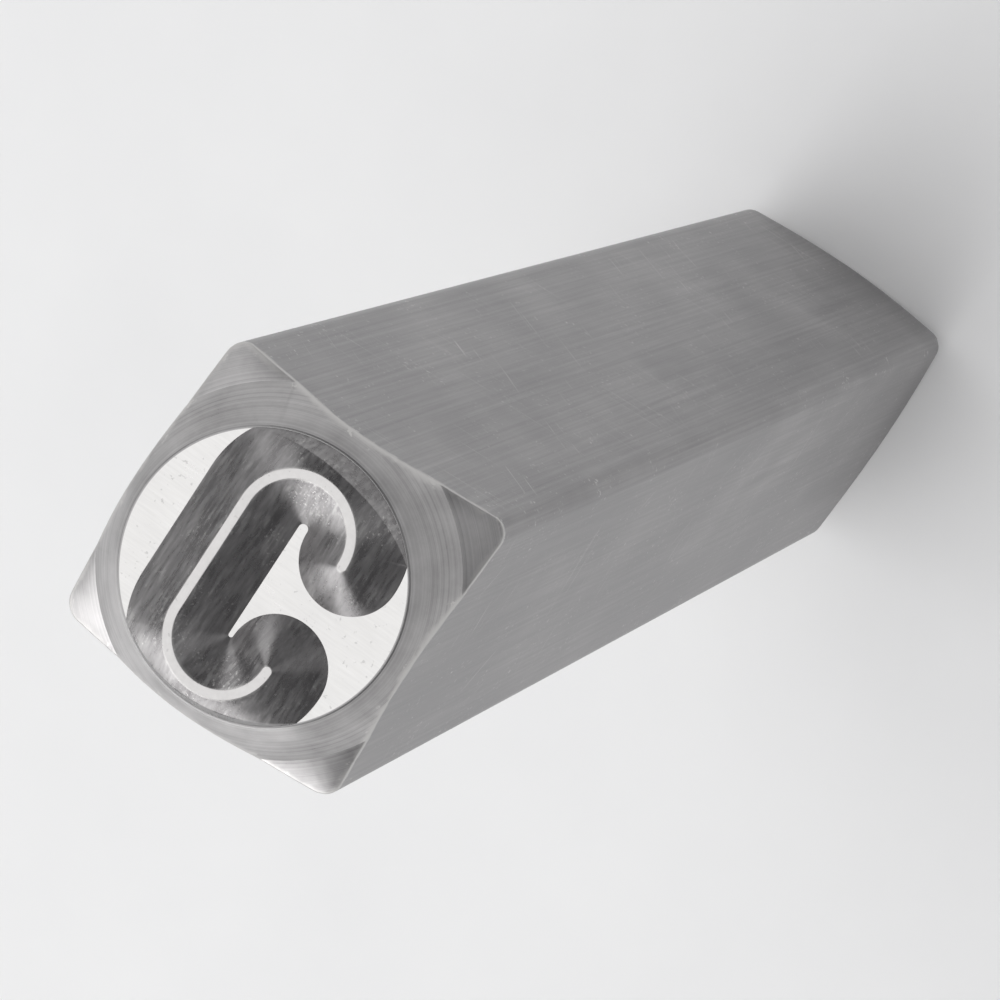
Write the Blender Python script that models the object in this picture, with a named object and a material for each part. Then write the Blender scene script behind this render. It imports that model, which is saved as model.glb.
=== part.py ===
# Hand punch that stamps one capital letter, a C, into metal.
# One piece of tool steel: a square bar, a neck turned down to a round face, and on that face
# the letter in mirror image, as a ridge with sloping flanks and a narrow flat stamping edge.
# Metres. +Z runs from the struck end to the letter, +Y to the top of the letter, and the
# bottom of the struck end is at the origin.

import math

import bmesh
import bpy
from mathutils import Matrix, Vector

MM = 0.001

# Square bar
SHANK_SIDE = 8.0 * MM
SHANK_EDGE_RADIUS = 0.5 * MM
OVERALL_LENGTH = 64.0 * MM

# Struck end: a round flat with a turned chamfer around it
STRUCK_FLAT_DIAMETER = 7.4 * MM
STRUCK_CHAMFER_ANGLE = math.radians(45.0)

# Neck: a cone down from the face, then a blunter shoulder that runs out over the corners
FACE_DIAMETER = 7.1 * MM
NECK_LENGTH = 1.3 * MM
NECK_HALF_ANGLE = math.radians(36.0)
SHOULDER_HALF_ANGLE = math.radians(58.0)

# Above the face the lathe leaves a slimmer cone, which trims the letter's flanks at the rim
TRIM_HALF_ANGLE = math.radians(22.0)

# Raised letter: height is measured over the stamping edge, the spine and bowls to its middle line
LETTER_HEIGHT = 6.0 * MM
SPINE_OFFSET = 1.2 * MM
TOP_BOWL_RADIUS = 1.32 * MM
BOTTOM_BOWL_RADIUS = 1.38 * MM
BOWL_SWEEP = math.radians(180.0)
STAMPING_EDGE_WIDTH = 0.22 * MM
RELIEF = 0.8 * MM
FLANK_RUN = 1.15 * MM

# Allowances that the cuts and joins run past each other by
TURNING_ALLOWANCE = 1.0 * MM
ROOT_DEPTH = 0.3 * MM

# Facets in a full turn of the lathe and of a bowl, and in the rounding of one long edge
TURNED_FACETS = 144
BOWL_FACETS = 96
EDGE_FACETS = 8

# Points closer than this are one point, and edges blunter than this are shaded smooth
MERGE_DISTANCE = 0.001 * MM
SHARP_ANGLE = math.radians(14.0)

face_z = OVERALL_LENGTH - RELIEF
flank_slope = RELIEF / FLANK_RUN
edge_half = STAMPING_EDGE_WIDTH / 2


def clear_scene():
    for old in list(bpy.data.objects):
        bpy.data.objects.remove(old)


def mesh_of(name, bm):
    """The shape as a mesh, with points that coincide made one and faces turned outwards."""
    bmesh.ops.remove_doubles(bm, verts=bm.verts, dist=MERGE_DISTANCE)
    bmesh.ops.dissolve_degenerate(bm, edges=bm.edges, dist=MERGE_DISTANCE)
    bmesh.ops.delete(bm, geom=[e for e in bm.edges if e.is_wire], context="EDGES")
    bmesh.ops.recalc_face_normals(bm, faces=bm.faces)
    mesh = bpy.data.meshes.new(name)
    bm.to_mesh(mesh)
    bm.free()
    return mesh


def add_object(name, bm):
    obj = bpy.data.objects.new(name, mesh_of(name, bm))
    bpy.context.scene.collection.objects.link(obj)
    return obj


def combine(target, others, operation):
    """Joins the others to target, or keeps what they share with it, and uses them up."""
    operands = bpy.data.collections.new("operands")
    for other in others:
        operands.objects.link(other)
    boolean = target.modifiers.new(operation, "BOOLEAN")
    boolean.operation = operation
    boolean.solver = "EXACT"
    boolean.operand_type = "COLLECTION"
    boolean.collection = operands
    graph = bpy.context.evaluated_depsgraph_get()
    bm = bmesh.new()
    bm.from_object(target, graph)
    target.modifiers.clear()
    target.data = mesh_of(target.name, bm)
    for other in others:
        bpy.data.objects.remove(other)
    bpy.data.collections.remove(operands)


def square_bar():
    """The drawn bar, from its sawn end up to the floor that the letter stands on."""
    bm = bmesh.new()
    sawn_z = -TURNING_ALLOWANCE
    size = Matrix.Diagonal((SHANK_SIDE, SHANK_SIDE, face_z - sawn_z, 1.0))
    middle = Matrix.Translation((0, 0, (face_z + sawn_z) / 2))
    bmesh.ops.create_cube(bm, size=1.0, matrix=middle @ size)
    long_edges = [e for e in bm.edges if e.verts[0].co.z * e.verts[1].co.z < 0]
    bmesh.ops.bevel(
        bm,
        geom=long_edges,
        affect="EDGES",
        offset=SHANK_EDGE_RADIUS,
        segments=EDGE_FACETS,
        profile=0.5,
    )
    return add_object("letter_punch", bm)


def revolve(name, profile):
    """A turned solid from a profile of (radius, height) points that starts and ends on the axis."""
    bm = bmesh.new()
    line = [bm.verts.new((radius, 0.0, height)) for radius, height in profile]
    edges = [bm.edges.new(pair) for pair in zip(line, line[1:])]
    bmesh.ops.spin(
        bm,
        geom=line + edges,
        cent=(0, 0, 0),
        axis=(0, 0, 1),
        angle=math.tau,
        steps=TURNED_FACETS,
        use_merge=True,
    )
    return add_object(name, bm)


def turned_outline():
    """What the lathe leaves: struck end, chamfer, then shoulder, neck and the trim of the letter."""
    clear_radius = SHANK_SIDE / math.sqrt(2) + TURNING_ALLOWANCE
    struck_radius = STRUCK_FLAT_DIAMETER / 2
    face_radius = FACE_DIAMETER / 2
    neck_radius = face_radius + NECK_LENGTH * math.tan(NECK_HALF_ANGLE)
    neck_z = face_z - NECK_LENGTH
    shoulder_z = neck_z - (clear_radius - neck_radius) / math.tan(SHOULDER_HALF_ANGLE)
    chamfer_z = (clear_radius - struck_radius) * math.tan(STRUCK_CHAMFER_ANGLE)
    top_z = OVERALL_LENGTH + TURNING_ALLOWANCE
    top_radius = face_radius - (top_z - face_z) * math.tan(TRIM_HALF_ANGLE)
    profile = [
        (0.0, 0.0),
        (struck_radius, 0.0),
        (clear_radius, chamfer_z),
        (clear_radius, shoulder_z),
        (neck_radius, neck_z),
        (face_radius, face_z),
        (top_radius, top_z),
        (0.0, top_z),
    ]
    return revolve("turned_outline", profile)


def sweep(name, rings, closed=False):
    """A solid through rings of points that match one to one, closed into a loop or by end faces."""
    bm = bmesh.new()
    rings = [[bm.verts.new(point) for point in ring] for ring in rings]
    if closed:
        rings.append(rings[0])
    else:
        bm.faces.new(rings[0])
        bm.faces.new(rings[-1])
    for ring, following in zip(rings, rings[1:]):
        for i in range(len(ring)):
            bm.faces.new((ring[i - 1], ring[i], following[i], following[i - 1]))
    return add_object(name, bm)


def flank(reach=math.inf):
    """One side of the ridge as (offset, height) points, from the stamping edge down to the root.

    Inside a bowl the flank can only reach as far as the bowl's own axis, and drops from there.
    """
    root_z = face_z - ROOT_DEPTH
    foot = min(edge_half + (OVERALL_LENGTH - root_z) / flank_slope, reach)
    foot_z = OVERALL_LENGTH - (foot - edge_half) * flank_slope
    return [(edge_half, OVERALL_LENGTH), (foot, foot_z), (foot, root_z)]


def ridge_ring(centre, radius, angle, reach=math.inf):
    """The ridge's section where its middle line is radius from centre, in the direction of angle."""
    section = flank() + [(-offset, height) for offset, height in reversed(flank(reach))]
    return [arc_point(centre, radius + offset, angle, height) for offset, height in section]


def arc_point(centre, radius, angle, height):
    return (centre.x + radius * math.cos(angle), centre.y + radius * math.sin(angle), height)


def bowl(name, centre, radius, angle):
    """An arc of the ridge about centre, from the spine's side round by angle."""
    steps = round(abs(angle) / math.tau * BOWL_FACETS)
    turns = [angle * step / steps for step in range(steps + 1)]
    return sweep(name, [ridge_ring(centre, radius, turn, reach=radius) for turn in turns])


def stroke_end(name, centre, radius, angle):
    """The cone that rounds the ridge off where a bowl ends."""
    tip = Vector(arc_point(centre, radius, angle, 0))
    section = flank() + [(0, face_z - ROOT_DEPTH), (0, OVERALL_LENGTH)]
    turns = [angle + math.tau * step / BOWL_FACETS for step in range(BOWL_FACETS)]
    rings = [[arc_point(tip, offset, turn, height) for offset, height in section] for turn in turns]
    return sweep(name, rings, closed=True)


def letter_strokes():
    """The C in mirror image: its spine on +X, its bowls opening towards -X."""
    top_y = LETTER_HEIGHT / 2 - edge_half
    top = Vector((SPINE_OFFSET - TOP_BOWL_RADIUS, top_y - TOP_BOWL_RADIUS))
    bottom = Vector((SPINE_OFFSET - BOTTOM_BOWL_RADIUS, BOTTOM_BOWL_RADIUS - top_y))
    spine_ends = [ridge_ring(top, TOP_BOWL_RADIUS, 0), ridge_ring(bottom, BOTTOM_BOWL_RADIUS, 0)]
    return [
        sweep("spine", spine_ends),
        bowl("top_bowl", top, TOP_BOWL_RADIUS, BOWL_SWEEP),
        bowl("bottom_bowl", bottom, BOTTOM_BOWL_RADIUS, -BOWL_SWEEP),
        stroke_end("top_end", top, TOP_BOWL_RADIUS, BOWL_SWEEP),
        stroke_end("bottom_end", bottom, BOTTOM_BOWL_RADIUS, -BOWL_SWEEP),
    ]


def black_oxide_steel():
    material = bpy.data.materials.new("black_oxide_steel")
    material.use_nodes = True
    shader = material.node_tree.nodes["Principled BSDF"]
    shader.inputs["Base Color"].default_value = (0.055, 0.052, 0.052, 1.0)
    shader.inputs["Metallic"].default_value = 0.85
    shader.inputs["Roughness"].default_value = 0.42
    return material


def letter_punch():
    punch = square_bar()
    combine(punch, letter_strokes(), "UNION")
    combine(punch, [turned_outline()], "INTERSECT")
    punch.data.shade_smooth()
    punch.data.set_sharp_from_angle(angle=SHARP_ANGLE)
    punch.data.materials.append(black_oxide_steel())


clear_scene()
letter_punch()
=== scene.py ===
# Steel letter punch, standing on its struck end and seen from the angle of the photograph.
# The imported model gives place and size, and the punch here is the same form with its fine detail.
import math

import bmesh
import bpy
from mathutils import Matrix, Vector


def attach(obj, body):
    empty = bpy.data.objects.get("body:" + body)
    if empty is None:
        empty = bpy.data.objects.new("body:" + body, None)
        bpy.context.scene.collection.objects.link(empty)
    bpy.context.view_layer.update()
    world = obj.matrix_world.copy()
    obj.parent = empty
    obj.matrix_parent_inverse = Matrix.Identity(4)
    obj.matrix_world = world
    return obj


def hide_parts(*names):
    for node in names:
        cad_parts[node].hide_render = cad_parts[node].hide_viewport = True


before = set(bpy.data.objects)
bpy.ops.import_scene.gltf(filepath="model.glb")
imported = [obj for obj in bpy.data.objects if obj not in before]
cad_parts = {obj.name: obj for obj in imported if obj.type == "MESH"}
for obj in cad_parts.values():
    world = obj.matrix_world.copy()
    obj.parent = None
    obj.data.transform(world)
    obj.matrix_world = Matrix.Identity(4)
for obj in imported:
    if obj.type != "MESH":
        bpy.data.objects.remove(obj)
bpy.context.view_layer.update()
print("frame loaded, nodes:", len(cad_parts))

mm = 0.001
roundProfile = 0.5  # the bevel profile that is a true arc


# modelling helpers, used by every piece

def pickOnly(obj):
    bpy.ops.object.select_all(action="DESELECT")
    obj.select_set(True)
    bpy.context.view_layer.objects.active = obj


def startEditing(obj):
    pickOnly(obj)
    bpy.ops.object.mode_set(mode="EDIT")


def stopEditing():
    bpy.ops.object.mode_set(mode="OBJECT")


def selectWhere(obj, kind, test):
    # selects the points, edges or faces that pass the test, and nothing else
    bpy.ops.mesh.select_mode(type=kind)
    bpy.ops.mesh.select_all(action="DESELECT")
    shape = bmesh.from_edit_mesh(obj.data)
    shape.normal_update()
    for item in {"VERT": shape.verts, "EDGE": shape.edges, "FACE": shape.faces}[kind]:
        if test(item):
            item.select_set(True)
    shape.select_flush_mode()
    bmesh.update_edit_mesh(obj.data)


def applyModifier(obj, kind, **settings):
    pickOnly(obj)
    modifier = obj.modifiers.new(kind.lower(), kind)
    for name, value in settings.items():
        setattr(modifier, name, value)
    bpy.ops.object.modifier_apply(modifier=modifier.name)


def settleOrder(obj):
    # extruding leaves faces in a new order each run, so they are put in the order of their points
    old = obj.data
    faces = []
    for face in old.polygons:
        corners = list(face.vertices)
        first = corners.index(min(corners))
        faces.append(corners[first:] + corners[:first])
    mesh = bpy.data.meshes.new(obj.name)
    mesh.from_pydata([point.co for point in old.vertices], [], sorted(faces))
    obj.data = mesh
    bpy.data.meshes.remove(old)


def cutWith(obj, tool, operation):
    applyModifier(obj, "BOOLEAN", operation=operation, solver="EXACT", object=tool)
    bpy.data.objects.remove(tool)


def mergePoints(distance):
    bpy.ops.mesh.select_all(action="SELECT")
    bpy.ops.mesh.remove_doubles(threshold=distance)


# sizes along the punch that several pieces share
punch = {
    "length": 64.0 * mm,
    "relief": 0.8 * mm,  # how far the letter stands up from the face
    "spare": 1.0 * mm,  # how far a cut runs past what it cuts
    "weld": 0.002 * mm,  # points nearer than this are one
}
faceHeight = punch["length"] - punch["relief"]

# the drawn square bar
bar = {
    "side": 8.0 * mm,
    "edgeRadius": 0.5 * mm,
    "edgeSteps": 8,
}


def makeBar():
    middle = (0, 0, punch["length"] / 2)
    size = (bar["side"], bar["side"], punch["length"] + 2 * punch["spare"])
    bpy.ops.object.select_all(action="DESELECT")
    bpy.ops.mesh.primitive_cube_add(size=1, location=middle, scale=size)
    obj = bpy.context.object
    bpy.ops.object.transform_apply(location=True, rotation=True, scale=True)
    startEditing(obj)
    selectWhere(obj, "EDGE", lambda e: abs(e.verts[0].co.z - e.verts[1].co.z) > bar["side"])
    bpy.ops.mesh.bevel(
        offset=bar["edgeRadius"], segments=bar["edgeSteps"], profile=roundProfile, affect="EDGES"
    )
    stopEditing()
    return obj


# what the lathe leaves of the bar: the struck end, the neck and the shoulder
turning = {
    "struckFlat": 7.4 * mm,
    "struckAngle": math.radians(45),
    "face": 7.1 * mm,
    "neckLength": 1.3 * mm,
    "neckAngle": math.radians(36),  # this angle and the next are measured from the axis
    "shoulderAngle": math.radians(58),
    "facets": 216,
}


def makeTurning():
    clear = bar["side"] / math.sqrt(2) + punch["spare"]
    struck = turning["struckFlat"] / 2
    face = turning["face"] / 2
    neck = face + turning["neckLength"] * math.tan(turning["neckAngle"])
    neckHeight = faceHeight - turning["neckLength"]
    shoulderHeight = neckHeight - (clear - neck) / math.tan(turning["shoulderAngle"])
    struckHeight = (clear - struck) * math.tan(turning["struckAngle"])
    profile = [(clear, struckHeight), (clear, shoulderHeight), (neck, neckHeight), (face, faceHeight)]
    bpy.ops.object.select_all(action="DESELECT")
    bpy.ops.mesh.primitive_circle_add(vertices=turning["facets"], radius=struck, fill_type="NGON")
    obj = bpy.context.object
    startEditing(obj)
    radius, height = struck, 0.0
    for newRadius, newHeight in profile:
        bpy.ops.mesh.extrude_region_move(TRANSFORM_OT_translate={"value": (0, 0, newHeight - height)})
        grow = newRadius / radius
        bpy.ops.transform.resize(value=(grow, grow, 1), center_override=(0, 0, newHeight))
        radius, height = newRadius, newHeight
    bpy.ops.mesh.select_all(action="SELECT")
    bpy.ops.mesh.normals_make_consistent(inside=False)
    stopEditing()
    settleOrder(obj)
    return obj


# the raised C, in mirror image: spine on +X, bowls opening towards -X
letter = {
    "height": 6.0 * mm,  # over the stamping edge
    "spine": 1.2 * mm,  # from the axis to the middle of the spine
    "topBowl": 1.32 * mm,
    "bottomBowl": 1.38 * mm,
    "edgeWidth": 0.22 * mm,
    "edgeBlend": 0.02 * mm,
    "blendSteps": 3,
    "flankRun": 1.15 * mm,
    "root": 0.03 * mm,  # how far the ridge reaches into the face
    "bowlSteps": 64,
    "endSteps": 40,
    "trimAngle": math.radians(22),  # the lathe has trimmed the flanks to a cone over the face
    "trimInside": 0.035 * mm,  # how far inside the face's own edge that cone stands
    "unbroken": 0.05 * mm,  # edges this near the stamping edge keep their own blend
    "endTurned": 0.999,  # a face is a cut end when it faces along Y at least this much
    "endWithin": 0.001 * mm,  # and lies this near the cut
}


def spinHalfTurn(centre, steps):
    middle = (centre[0], centre[1], 0)
    bpy.ops.mesh.spin(steps=steps, angle=-math.pi, center=middle, axis=(0, 0, 1), dupli=False)


def makeLetter():
    half = letter["edgeWidth"] / 2
    root = faceHeight - letter["root"]
    foot = half + (punch["length"] - root) * letter["flankRun"] / punch["relief"]
    reach = letter["height"] / 2 - half
    topCentre = (letter["spine"] - letter["topBowl"], reach - letter["topBowl"])
    bottomCentre = (letter["spine"] - letter["bottomBowl"], letter["bottomBowl"] - reach)
    start = (bottomCentre[0] - letter["bottomBowl"], bottomCentre[1])
    finish = (topCentre[0] - letter["topBowl"], topCentre[1])

    # half of the ridge's section, standing at the lower end of the stroke
    bpy.ops.object.select_all(action="DESELECT")
    bpy.ops.mesh.primitive_plane_add(size=1, rotation=(math.pi / 2, 0, 0))
    obj = bpy.context.object
    obj.scale = (foot, punch["length"] - root, 1)
    obj.location = (start[0] + foot / 2, start[1], (punch["length"] + root) / 2)
    bpy.ops.object.transform_apply(location=True, rotation=True, scale=True)
    startEditing(obj)
    outside = start[0] + foot / 2
    selectWhere(obj, "VERT", lambda v: v.co.z > faceHeight and v.co.x > outside)
    bpy.ops.transform.translate(value=(half - foot, 0, 0))
    bpy.ops.mesh.bevel(
        offset=letter["edgeBlend"], segments=letter["blendSteps"], profile=roundProfile, affect="VERTICES"
    )

    # round the stroke's end, then along the lower bowl, the spine and the upper bowl
    bpy.ops.mesh.select_all(action="SELECT")
    spinHalfTurn(start, letter["endSteps"])
    mergePoints(punch["weld"])

    def onCut(at):
        def test(f):
            near = abs(f.calc_center_median().y - at) < letter["endWithin"]
            return near and abs(f.normal.y) > letter["endTurned"]
        return test

    selectWhere(obj, "FACE", onCut(start[1]))
    spinHalfTurn(bottomCentre, letter["bowlSteps"])
    spine = (0, topCentre[1] - bottomCentre[1], 0)
    bpy.ops.mesh.extrude_region_move(TRANSFORM_OT_translate={"value": spine})
    spinHalfTurn(topCentre, letter["bowlSteps"])

    # the other round end grows out of the outer half of the section
    cut = onCut(finish[1])
    selectWhere(obj, "FACE", lambda f: cut(f) and f.calc_center_median().x < finish[0])
    spinHalfTurn(finish, letter["endSteps"])
    selectWhere(obj, "FACE", lambda f: cut(f) and abs(f.calc_center_median().x - finish[0]) < foot)
    bpy.ops.mesh.delete(type="FACE")
    mergePoints(punch["weld"])
    bpy.ops.mesh.normals_make_consistent(inside=False)
    stopEditing()
    settleOrder(obj)
    cutWith(obj, makeTrim(), "INTERSECT")
    breakEdges(obj, edges["letter"], faceHeight, punch["length"] - letter["unbroken"])
    return obj


def makeTrim():
    low = faceHeight - punch["spare"]
    high = punch["length"] + punch["spare"]
    lean = math.tan(letter["trimAngle"])
    radius = turning["face"] / 2 - letter["trimInside"]
    bpy.ops.object.select_all(action="DESELECT")
    bpy.ops.mesh.primitive_cone_add(
        vertices=turning["facets"],
        radius1=radius + (faceHeight - low) * lean,
        radius2=radius - (high - faceHeight) * lean,
        depth=high - low,
        location=(0, 0, (low + high) / 2),
    )
    bpy.ops.object.transform_apply(location=True, rotation=True, scale=True)
    return bpy.context.object


# the sharp edges that the cuts leave, broken as a tumbled and handled tool has them
edges = {
    "sharpFrom": math.radians(17),  # an edge that turns more than this is broken
    "shortest": 0.04 * mm,  # pieces of an edge shorter than this are taken up by their neighbours
    "neck": 0.05 * mm,
    "letter": 0.03 * mm,
    "struckEnd": 0.08 * mm,
    "steps": 3,
    "creaseFrom": math.radians(24),  # and one that still turns more than this is shaded as a crease
    "normalWeight": 60,  # above 50, large faces steer the shading of small ones
}


def breakEdges(obj, width, low, high):
    def isSharp(edge):
        height = (edge.verts[0].co.z + edge.verts[1].co.z) / 2
        if len(edge.link_faces) != 2 or not edge.is_convex or not low < height < high:
            return False
        return edge.calc_face_angle() > edges["sharpFrom"]

    startEditing(obj)
    mergePoints(punch["weld"])
    selectWhere(obj, "EDGE", isSharp)
    bpy.ops.mesh.remove_doubles(threshold=edges["shortest"])
    selectWhere(obj, "EDGE", isSharp)
    bpy.ops.mesh.bevel(
        offset=width, segments=edges["steps"], profile=roundProfile, affect="EDGES", clamp_overlap=False
    )
    stopEditing()


def finishShading(obj):
    # smooth round the rounded edges, and crisp in the hollow corners
    def isHollow(edge):
        if len(edge.link_faces) != 2 or edge.is_convex:
            return False
        return edge.calc_face_angle() > edges["sharpFrom"]

    obj.data.shade_smooth()
    obj.data.set_sharp_from_angle(angle=edges["creaseFrom"])
    startEditing(obj)
    mergePoints(punch["weld"])
    selectWhere(obj, "EDGE", isHollow)
    bpy.ops.mesh.mark_sharp()
    stopEditing()
    applyModifier(obj, "WEIGHTED_NORMAL", weight=edges["normalWeight"], keep_sharp=True)


def makePunch():
    obj = makeBar()
    cutWith(obj, makeTurning(), "INTERSECT")
    breakEdges(obj, edges["struckEnd"], -math.inf, bar["side"])
    breakEdges(obj, edges["neck"], bar["side"], math.inf)
    cutWith(obj, makeLetter(), "UNION")
    finishShading(obj)
    obj.name = "punch_steel"
    obj.data.name = "punch_steel"
    return obj


body = makePunch()
print("punch modelled, faces:", len(body.data.polygons))


# material helpers: every pattern reads object coordinates, so it stays on the steel from any side

def startMaterial(name, **values):
    material = bpy.data.materials.new(name)
    material.use_nodes = True
    tree = material.node_tree
    shader = tree.nodes["Principled BSDF"]
    for socket, value in values.items():
        shader.inputs[socket].default_value = value
    return material, tree, shader


def setSocket(tree, socket, value):
    if isinstance(value, bpy.types.NodeSocket):
        tree.links.new(value, socket)
    else:
        socket.default_value = value


def addNode(tree, kind, sockets=None, **settings):
    node = tree.nodes.new(kind)
    for name, value in settings.items():
        setattr(node, name, value)
    for name, value in (sockets or {}).items():
        setSocket(tree, node.inputs[name], value)
    return node


def objectPlace(tree):
    return addNode(tree, "ShaderNodeTexCoord").outputs["Object"]


def stretchedNoise(tree, where, scale, detail, roughness=0.6):
    # noise with its own size along each axis, in features per metre
    mapping = addNode(tree, "ShaderNodeMapping", {"Vector": where, "Scale": scale})
    sockets = {"Vector": mapping.outputs["Vector"], "Scale": 1.0}
    sockets.update({"Detail": detail, "Roughness": roughness})
    return addNode(tree, "ShaderNodeTexNoise", sockets).outputs["Fac"]


def levels(tree, value, span, result=(0.0, 1.0), **settings):
    # spreads what lies in the span over the result, and holds it at the ends unless told otherwise
    sockets = {"Value": value, "From Min": span[0], "From Max": span[1]}
    sockets.update({"To Min": result[0], "To Max": result[1]})
    return addNode(tree, "ShaderNodeMapRange", sockets, **settings).outputs["Result"]


def combineValues(tree, operation, first, second):
    return addNode(tree, "ShaderNodeMath", {0: first, 1: second}, operation=operation).outputs["Value"]


def combineVectors(tree, operation, first, second=(0, 0, 0), out="Vector"):
    node = addNode(tree, "ShaderNodeVectorMath", {0: first, 1: second}, operation=operation)
    return node.outputs[out]


def blendColours(tree, amount, first, second):
    # a Mix node has sockets of the same names for each kind of value, so the colour's are numbered
    node = addNode(tree, "ShaderNodeMix", data_type="RGBA")
    amountSocket, firstSocket, secondSocket, colourOut = 0, 6, 7, 2
    setSocket(tree, node.inputs[amountSocket], amount)
    setSocket(tree, node.inputs[firstSocket], first)
    setSocket(tree, node.inputs[secondSocket], second)
    return node.outputs[colourOut]


def heightOf(tree, where):
    return addNode(tree, "ShaderNodeSeparateXYZ", {"Vector": where}).outputs["Z"]


def radiusOf(tree, where):
    flattened = combineVectors(tree, "MULTIPLY", where, (1, 1, 0))
    return combineVectors(tree, "LENGTH", flattened, out="Value")


# distances from the sharp edges of the bar, measured in the material

def insideOutline(tree, where):
    # how far a point lies inside the bar's rounded square outline
    flat = bar["side"] / 2 - bar["edgeRadius"]
    beyond = combineVectors(tree, "SUBTRACT", combineVectors(tree, "ABSOLUTE", where), (flat, flat, 1))
    parts = addNode(tree, "ShaderNodeSeparateXYZ", {"Vector": beyond}).outputs
    within = combineValues(tree, "MINIMUM", combineValues(tree, "MAXIMUM", parts["X"], parts["Y"]), 0.0)
    corner = combineVectors(tree, "LENGTH", combineVectors(tree, "MAXIMUM", beyond), out="Value")
    return combineValues(tree, "SUBTRACT", bar["edgeRadius"], combineValues(tree, "ADD", within, corner))


def fallingCone(tree, radius, startRadius, startHeight, angle):
    # the height of a turned cone over each radius, from a point on it and its angle to the axis
    fall = startRadius / math.tan(angle)
    span = (startRadius, 2 * startRadius)
    return levels(tree, radius, span, (startHeight, startHeight - fall), clamp=False)


def insideTurning(tree, where):
    # how far below the neck and shoulder, and above the struck chamfer, a point of the bar lies
    radius = radiusOf(tree, where)
    height = heightOf(tree, where)
    face = turning["face"] / 2
    neckEnd = face + turning["neckLength"] * math.tan(turning["neckAngle"])
    neck = fallingCone(tree, radius, face, faceHeight, turning["neckAngle"])
    shoulderHeight = faceHeight - turning["neckLength"]
    shoulder = fallingCone(tree, radius, neckEnd, shoulderHeight, turning["shoulderAngle"])
    below = combineValues(tree, "SUBTRACT", combineValues(tree, "MAXIMUM", neck, shoulder), height)
    chamfer = combineValues(tree, "SUBTRACT", radius, turning["struckFlat"] / 2)
    above = combineValues(tree, "SUBTRACT", height, chamfer)
    return combineValues(tree, "MINIMUM", below, above)


def belowStampingEdge(tree, where):
    return combineValues(tree, "SUBTRACT", punch["length"], heightOf(tree, where))


# fine scratches that slant across the flats and stop short of the rounded edges
scratching = {
    "fade": (3.1 * mm, 3.6 * mm),  # they fade out between these distances from a flat's middle line
    "sets": (
        {
            "slant": (0.30, 0.25, 0.20),
            "scale": (170, 170, 15000),
            "patchScale": (300, 300, 160),
            "rarity": 0.665,  # noise above this shows as a scratch
        },
        {
            "slant": (-0.85, -0.70, 0.50),
            "scale": (240, 240, 14000),
            "patchScale": (230, 230, 140),
            "rarity": 0.685,
        },
    ),
    "detail": 2,
    "softness": 0.045,
    "patchSpan": (0.46, 0.58),
}


def hairScratches(tree, where):
    apart = combineVectors(tree, "ABSOLUTE", where)
    axes = addNode(tree, "ShaderNodeSeparateXYZ", {"Vector": apart}).outputs
    fromMiddle = combineValues(tree, "MINIMUM", axes["X"], axes["Y"])
    allowed = levels(tree, fromMiddle, scratching["fade"], (1.0, 0.0))
    scratches = 0.0
    for each in scratching["sets"]:
        slanted = addNode(tree, "ShaderNodeMapping", {"Vector": where, "Rotation": each["slant"]})
        noise = stretchedNoise(tree, slanted.outputs["Vector"], each["scale"], detail=scratching["detail"])
        fine = levels(tree, noise, (each["rarity"], each["rarity"] + scratching["softness"]))
        patchNoise = stretchedNoise(tree, where, each["patchScale"], detail=scratching["detail"])
        patches = levels(tree, patchNoise, scratching["patchSpan"])
        both = combineValues(tree, "MULTIPLY", fine, patches)
        scratches = combineValues(tree, "MAXIMUM", both, scratches)
    return combineValues(tree, "MULTIPLY", scratches, allowed)


# edges rubbed bright: the reaches are parts of the finish's own reach
rubbing = {
    "wander": {"scale": (1400, 1400, 1400), "detail": 5},
    "wanderSpan": (0.36, 0.64),
    "wanderReach": (0.35, 1.5),  # how wide the rubbed band is at its narrowest and its widest
    "nick": {"scale": (2300, 2300, 2300), "detail": 3},
    "nickSpan": (0.60, 0.63),
    "nickReach": (0.7, 1.2),  # nicks get rarer between these distances from the edge
}


def rubbedEdge(tree, where, distance, reach):
    # one on the edge itself, fading out over a reach that wanders, with small nicks in it
    reaches = [part * reach for part in rubbing["wanderReach"]]
    noise = stretchedNoise(tree, where, **rubbing["wander"])
    wander = levels(tree, noise, rubbing["wanderSpan"], reaches)
    soft = levels(tree, distance, (0.0, wander), (1.0, 0.0), interpolation_type="SMOOTHSTEP")
    nick = levels(tree, stretchedNoise(tree, where, **rubbing["nick"]), rubbing["nickSpan"])
    near = levels(tree, distance, [part * reach for part in rubbing["nickReach"]], (1.0, 0.0))
    return combineValues(tree, "MAXIMUM", soft, combineValues(tree, "MULTIPLY", nick, near))


# the textures that the tools left
toolMarks = {
    "rings": {"scale": (17000, 1, 1), "detail": 3, "roughness": 0.75},
    "drawn": {"scale": (9000, 9000, 70), "detail": 5, "roughness": 0.65},
    "alongSpine": {"scale": (8500, 1300, 3500), "detail": 4, "roughness": 0.62},
}


def turningRings(tree, where):
    place = addNode(tree, "ShaderNodeCombineXYZ", {"X": radiusOf(tree, where)}).outputs["Vector"]
    return stretchedNoise(tree, place, **toolMarks["rings"])


def drawnLines(tree, where):
    return stretchedNoise(tree, where, **toolMarks["drawn"])


def spineLines(tree, where):
    return stretchedNoise(tree, where, **toolMarks["alongSpine"])


# the colours of the steel, bare and under its black oxide, and a painted shade for the face's rim
steel = {
    "oxide": (0.120, 0.115, 0.117, 1),
    "oxideLight": (0.500, 0.490, 0.490, 1),
    # painted shade: a mid grey laid where the face meets the neck, to tone down the rim's highlight
    "rim": (0.28, 0.275, 0.275, 1),
    "bare": (0.62, 0.61, 0.60, 1),
    "bareBright": (0.575, 0.568, 0.56, 1),
    "dull": (0.56, 0.55, 0.54, 1),
    "stamped": (0.50, 0.49, 0.485, 1),
}

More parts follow.
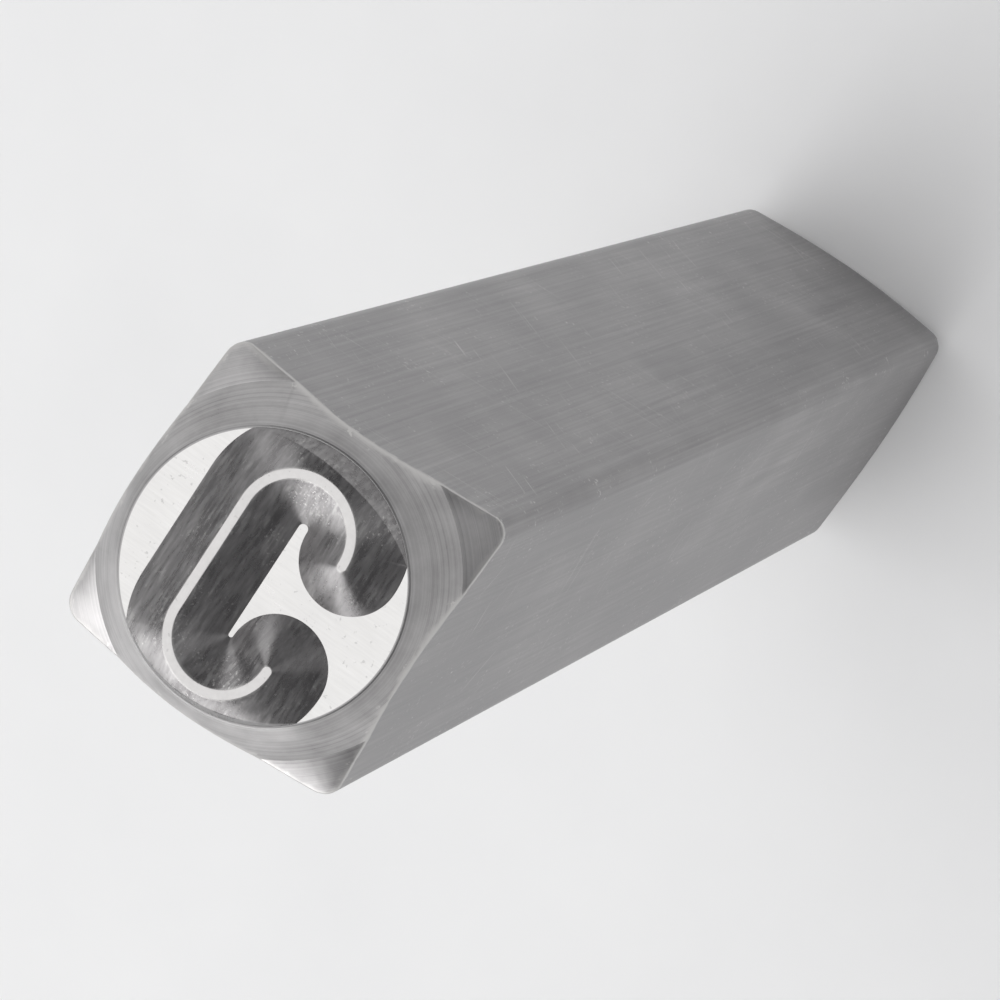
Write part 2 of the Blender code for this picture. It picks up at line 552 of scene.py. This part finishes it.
# black oxide, laid in the same way on the turned, the drawn and the flank surfaces
oxide = {
    "metallic": 0.9,
    "toneSpan": (0.34, 0.68),
    "cloudDetail": 6,
    "gather": {"scale": (900, 900, 900), "detail": 3},  # patches that specks and scuffs gather in
    "gatherSpan": (0.48, 0.64),
    "speckDetail": 3,
    "speckSpan": (0.60, 0.68),
    "scuffSpan": (0.50, 0.66),
    "rimBelowFace": (0.04 * mm, 0.02 * mm),  # where the painted rim shade starts below the face, and where it is full
    "roughSpan": (0.3, 0.7),
    "cloudRough": 0.05,
    "lineRough": (-0.04, 0.05),
    "grain": {"scale": (24000, 24000, 24000), "detail": 3},
    "bump": {"Strength": 0.5, "Distance": 0.006 * mm},
}


def oxideColour(tree, where, pattern, tone, settings):
    # the oxide's own tone, then specks, scuffs and scratches down to the steel, and painted shade on the
    # face's rim
    colour = blendColours(tree, tone, steel["oxide"], steel["oxideLight"])
    gather = levels(tree, stretchedNoise(tree, where, **oxide["gather"]), oxide["gatherSpan"])
    speckNoise = stretchedNoise(tree, where, settings["speckScale"], detail=oxide["speckDetail"])
    speck = levels(tree, speckNoise, oxide["speckSpan"], (0.0, settings["specks"]))
    colour = blendColours(tree, combineValues(tree, "MULTIPLY", speck, gather), colour, steel["bare"])
    if "scuffs" in settings:
        scuff = combineValues(tree, "MULTIPLY", levels(tree, pattern, oxide["scuffSpan"]), gather)
        scuff = combineValues(tree, "MULTIPLY", scuff, settings["scuffs"])
        colour = blendColours(tree, scuff, colour, steel["dull"])
    if "scratches" in settings:
        scratch = combineValues(tree, "MULTIPLY", hairScratches(tree, where), settings["scratches"])
        colour = blendColours(tree, scratch, colour, steel["bare"])
    # painted shade: just below the face the turned surface takes the darker rim colour, toning down the
    # rim's highlight
    if "rim" in settings:
        span = [faceHeight - depth for depth in oxide["rimBelowFace"]]
        rim = levels(tree, heightOf(tree, where), span, (0.0, settings["rim"]))
        colour = blendColours(tree, rim, colour, steel["rim"])
    return colour


def finishOxide(name, patternOf, distanceOf, settings):
    material, tree, shader = startMaterial(name, Metallic=oxide["metallic"])
    where = objectPlace(tree)
    pattern = patternOf(tree, where)
    cloud = stretchedNoise(tree, where, settings["cloudScale"], detail=oxide["cloudDetail"])
    worn = settings["worn"]
    lines = levels(tree, pattern, oxide["toneSpan"], (worn, worn + settings["lines"]))
    clouds = levels(tree, cloud, oxide["toneSpan"], (0.0, settings["clouds"]))
    tone = combineValues(tree, "ADD", lines, clouds)
    tree.links.new(blendColours(tree, tone, *settings["grazing"]), shader.inputs["Specular Tint"])

    colour = oxideColour(tree, where, pattern, tone, settings)
    rubbed = rubbedEdge(tree, where, distanceOf(tree, where), settings["reach"])
    wear = combineValues(tree, "MULTIPLY", rubbed, settings["wear"])
    tree.links.new(blendColours(tree, wear, colour, steel["dull"]), shader.inputs["Base Color"])

    rough, swing = settings["rough"], oxide["cloudRough"]
    cloudPart = levels(tree, cloud, oxide["roughSpan"], (rough - swing, rough + swing))
    linePart = levels(tree, pattern, oxide["roughSpan"], oxide["lineRough"])
    tree.links.new(combineValues(tree, "ADD", cloudPart, linePart), shader.inputs["Roughness"])

    linePart = combineValues(tree, "MULTIPLY", pattern, settings["lineDepth"])
    grain = stretchedNoise(tree, where, **oxide["grain"])
    grainPart = combineValues(tree, "MULTIPLY", grain, settings["grainDepth"])
    relief = combineValues(tree, "ADD", linePart, grainPart)
    bump = addNode(tree, "ShaderNodeBump", {"Height": relief, **oxide["bump"]})
    tree.links.new(bump.outputs["Normal"], shader.inputs["Normal"])
    return material


# bare ground steel, on the face and on the stamping edge
grinding = {
    "metallic": 0.95,
    "lines": {"detail": 4, "roughness": 0.7},
    "lineSpan": (0.3, 0.75),
    "lineShade": 0.9,  # how bright the darkest lines are, against the rest
    "cloud": {"scale": (1100, 1100, 1100), "detail": 5},
    "cloudSpan": (0.3, 0.7),
    "pit": {"scale": (6500, 6500, 6500), "detail": 2},
    "pitSpan": (0.66, 0.71),
    "rimInsideFace": (0.05 * mm, 0.02 * mm),  # where the painted rim shade starts inside the face, and where it is full
    "roughSwing": (-0.04, 0.06),
    "bump": {"Strength": 0.3, "Distance": 0.003 * mm},
}


def finishGround(name, settings):
    material, tree, shader = startMaterial(name, Metallic=grinding["metallic"])
    where = objectPlace(tree)
    lines = stretchedNoise(tree, where, settings["lineScale"], **grinding["lines"])
    darker = [grinding["lineShade"] * part for part in settings["colour"][:3]] + [1]
    colour = blendColours(tree, levels(tree, lines, grinding["lineSpan"]), settings["colour"], darker)
    pitNoise = stretchedNoise(tree, where, **grinding["pit"])
    pit = levels(tree, pitNoise, grinding["pitSpan"], (0.0, settings["pits"]))
    colour = blendColours(tree, pit, colour, steel["oxide"])
    # painted shade: the bare face darkens towards its rim
    span = [turning["face"] / 2 - depth for depth in grinding["rimInsideFace"]]
    rim = levels(tree, radiusOf(tree, where), span)
    tree.links.new(blendColours(tree, rim, colour, steel["rim"]), shader.inputs["Base Color"])

    cloud = stretchedNoise(tree, where, **grinding["cloud"])
    ends = [settings["rough"] + swing for swing in grinding["roughSwing"]]
    tree.links.new(levels(tree, cloud, grinding["cloudSpan"], ends), shader.inputs["Roughness"])
    bump = addNode(tree, "ShaderNodeBump", {"Height": lines, **grinding["bump"]})
    tree.links.new(bump.outputs["Normal"], shader.inputs["Normal"])
    return material


# The oxide finishes. Worn lightens the whole surface, and lines and clouds lighten their own parts
# of it. Specks, scuffs, scratches, wear and the painted rim shade say how strongly each shows, and
# reach how wide an edge is rubbed. Grazing tints the gloss at a low angle, in the dark places and in
# the light ones.
turnedOxide = {
    "worn": 0.32,
    "lines": 0.48,
    "clouds": 0.45,
    "cloudScale": (500, 500, 500),
    "specks": 0.15,
    "speckScale": (14000, 14000, 14000),
    # how strongly the painted shade on the face's rim shows
    "rim": 1.0,
    "wear": 0.95,
    "reach": 0.15 * mm,
    "rough": 0.33,
    "lineDepth": 0.8,
    "grainDepth": 0.25,
    "grazing": ((0.90, 0.90, 0.90, 1), (1.0, 1.0, 1.0, 1)),
}
drawnOxide = {
    "worn": 0.09,
    "lines": 0.34,
    "clouds": 0.31,
    "cloudScale": (330, 330, 150),
    "specks": 0.8,
    "speckScale": (8000, 8000, 5000),
    "scratches": 0.6,
    "wear": 0.95,
    "reach": 0.16 * mm,
    "rough": 0.37,
    "lineDepth": 0.8,
    "grainDepth": 0.5,
    "grazing": ((0.88, 0.88, 0.89, 1), (1.0, 1.0, 1.0, 1)),
}
flankOxide = {
    "worn": 0.03,
    "lines": 0.25,
    "clouds": 0.32,
    "cloudScale": (1500, 350, 900),
    "specks": 0.75,
    "speckScale": (14000, 14000, 14000),
    "scuffs": 0.35,
    "wear": 0.55,
    "reach": 0.04 * mm,
    "rough": 0.29,
    "lineDepth": 0.5,
    "grainDepth": 0.6,
    "grazing": ((0.90, 0.90, 0.90, 1), (1.0, 1.0, 1.0, 1)),
}

# the ground finishes
groundFace = {
    "colour": steel["bareBright"],
    "lineScale": (900, 15000, 900),
    "pits": 0.3,
    "rough": 0.30,
}
stampingEdge = {
    "colour": steel["stamped"],
    "lineScale": (6000, 6000, 6000),
    "pits": 0.25,
    "rough": 0.34,
}

finishes = [
    finishOxide("turnedOxide", turningRings, insideOutline, turnedOxide),
    finishOxide("drawnOxide", drawnLines, insideTurning, drawnOxide),
    finishOxide("flankOxide", spineLines, belowStampingEdge, flankOxide),
    finishGround("groundFace", groundFace),
    finishGround("stampingEdge", stampingEdge),
]

# how a face is told by its place and by how much it faces up, from 0 on its side to 1
surfaces = {
    "edgeDepth": 0.03 * mm,
    "edgeUp": 0.9,
    "faceDepth": 0.01 * mm,
    "faceUp": 0.999,
    "sideUp": 0.2,
}


def dressBody(obj):
    turned, drawn, flank, face, edge = range(len(finishes))

    def finishOf(f):
        height = f.calc_center_median().z
        if f.normal.z > surfaces["edgeUp"] and height > punch["length"] - surfaces["edgeDepth"]:
            return edge
        if f.normal.z > surfaces["faceUp"] and height > faceHeight - surfaces["faceDepth"]:
            return face
        if height > faceHeight:
            return flank
        if abs(f.normal.z) < surfaces["sideUp"]:
            return drawn
        return turned

    obj.data.materials.clear()
    for material in finishes:
        obj.data.materials.append(material)
    startEditing(obj)
    for slot in range(len(finishes)):
        selectWhere(obj, "FACE", lambda f: finishOf(f) == slot)
        obj.active_material_index = slot
        bpy.ops.object.material_slot_assign()
    stopEditing()


dressBody(body)
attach(body, "root")
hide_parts("letter_punch")
print("finishes on")

# the pale floor that it stands on, which runs out into an even pale background
ground = {
    "size": 30.0,
    "rough": 0.9,
    "colour": (0.86, 0.86, 0.86, 1),
    "dusty": (0.83, 0.83, 0.832, 1),
    "dust": {"scale": (60, 60, 60), "detail": 4},
    "dustSpan": (0.35, 0.65),
    "backdrop": (0.88, 0.88, 0.882, 1),
    "fade": (0.07, 0.20),  # the floor turns into the backdrop between these distances from the punch
}


def seenDirectly(tree):
    # one for what the camera, a gloss or glass sees, none for the light that the surface gives off
    rays = addNode(tree, "ShaderNodeLightPath")
    seen = combineValues(tree, "MAXIMUM", rays.outputs["Is Camera Ray"], rays.outputs["Is Glossy Ray"])
    return combineValues(tree, "MAXIMUM", seen, rays.outputs["Is Transmission Ray"])


def makeFloor():
    bpy.ops.object.select_all(action="DESELECT")
    bpy.ops.mesh.primitive_plane_add(size=ground["size"], location=(0, 0, 0))
    floor = bpy.context.object
    floor.name = "floor"
    values = {"Roughness": ground["rough"], "Specular IOR Level": 0.0}
    material, tree, shader = startMaterial("paleFloor", **values)
    where = objectPlace(tree)
    dust = levels(tree, stretchedNoise(tree, where, **ground["dust"]), ground["dustSpan"])
    colour = blendColours(tree, dust, ground["colour"], ground["dusty"])
    tree.links.new(colour, shader.inputs["Base Color"])
    backdrop = addNode(tree, "ShaderNodeEmission", {"Color": ground["backdrop"], "Strength": 1.0})
    far = levels(tree, radiusOf(tree, where), ground["fade"])
    amount = combineValues(tree, "MULTIPLY", far, seenDirectly(tree))
    mixed = {0: amount, 1: shader.outputs["BSDF"], 2: backdrop.outputs["Emission"]}
    surface = addNode(tree, "ShaderNodeMixShader", mixed).outputs["Shader"]
    tree.links.new(surface, tree.nodes["Material Output"].inputs["Surface"])
    floor.data.materials.append(material)


makeFloor()

# the photograph looks down on the face from 17 degrees off its axis, spine to the left
view = {
    "from": Vector((-0.166, -0.247, 0.955)),
    "distance": 144 * mm,
    "up": Vector((0.555, -0.832, 0)),
    "aim": Vector((-0.25 * mm, 0.4 * mm, 40 * mm)),
    "lens": 222,  # focal length, in millimetres as the sensor's width is
    "sensor": 36,
    "nearest": 1 * mm,
}


def makeCamera():
    lens = bpy.data.cameras.new("camera")
    lens.lens = view["lens"]
    lens.sensor_width = view["sensor"]
    lens.clip_start = view["nearest"]
    camera = bpy.data.objects.new("camera", lens)
    bpy.context.scene.collection.objects.link(camera)
    camera.location = Vector((0, 0, faceHeight)) + view["distance"] * view["from"].normalized()
    back = (camera.location - view["aim"]).normalized()
    right = view["up"].cross(back).normalized()
    turn = Matrix((right, back.cross(right), back)).transposed()
    camera.rotation_euler = turn.to_euler()
    bpy.context.scene.camera = camera


# soft panels, each by the direction it stands in from the face, its distance, size and brightness,
# where a panel of brightness 1 looks white
lamps = {
    "overhead": {"towards": (0.25, 0.33, 0.91), "distance": 0.62, "size": (1.15, 1.15), "brightness": 1.38},
    "window": {"towards": (0.18, 0.97, 0.16), "distance": 0.60, "size": (0.95, 0.26), "brightness": 2.5},
    "side": {"towards": (0.80, -0.38, 0.47), "distance": 0.60, "size": (0.30, 0.30), "brightness": 1.1},
    "fill": {"towards": (-0.60, -0.52, 0.61), "distance": 0.60, "size": (0.36, 0.36), "brightness": 0.32},
}

# the room round it: the sine of the angle above the horizon says where one shade turns into the other
room = {
    "horizon": (0.88, 0.88, 0.882, 1),
    "upper": (0.21, 0.21, 0.215, 1),
    "turns": (0.085, 0.19),
}


def makeLamps():
    for name, lamp in lamps.items():
        light = bpy.data.lights.new(name, "AREA")
        light.shape = "RECTANGLE"
        light.size, light.size_y = lamp["size"]
        light.energy = lamp["brightness"] * math.pi * light.size * light.size_y
        obj = bpy.data.objects.new(name, light)
        bpy.context.scene.collection.objects.link(obj)
        towards = Vector(lamp["towards"]).normalized()
        obj.location = Vector((0, 0, faceHeight)) + lamp["distance"] * towards
        obj.rotation_euler = towards.to_track_quat("Z", "Y").to_euler()


def makeRoom():
    # pale round the horizon and darker above
    world = bpy.data.worlds.new("room")
    bpy.context.scene.world = world
    world.use_nodes = True
    tree = world.node_tree
    height = heightOf(tree, addNode(tree, "ShaderNodeTexCoord").outputs["Generated"])
    shade = blendColours(tree, levels(tree, height, room["turns"]), room["horizon"], room["upper"])
    tree.links.new(shade, tree.nodes["Background"].inputs["Color"])


makeCamera()
makeLamps()
makeRoom()
bpy.context.scene.view_settings.view_transform = "Standard"
print("camera and lights placed")
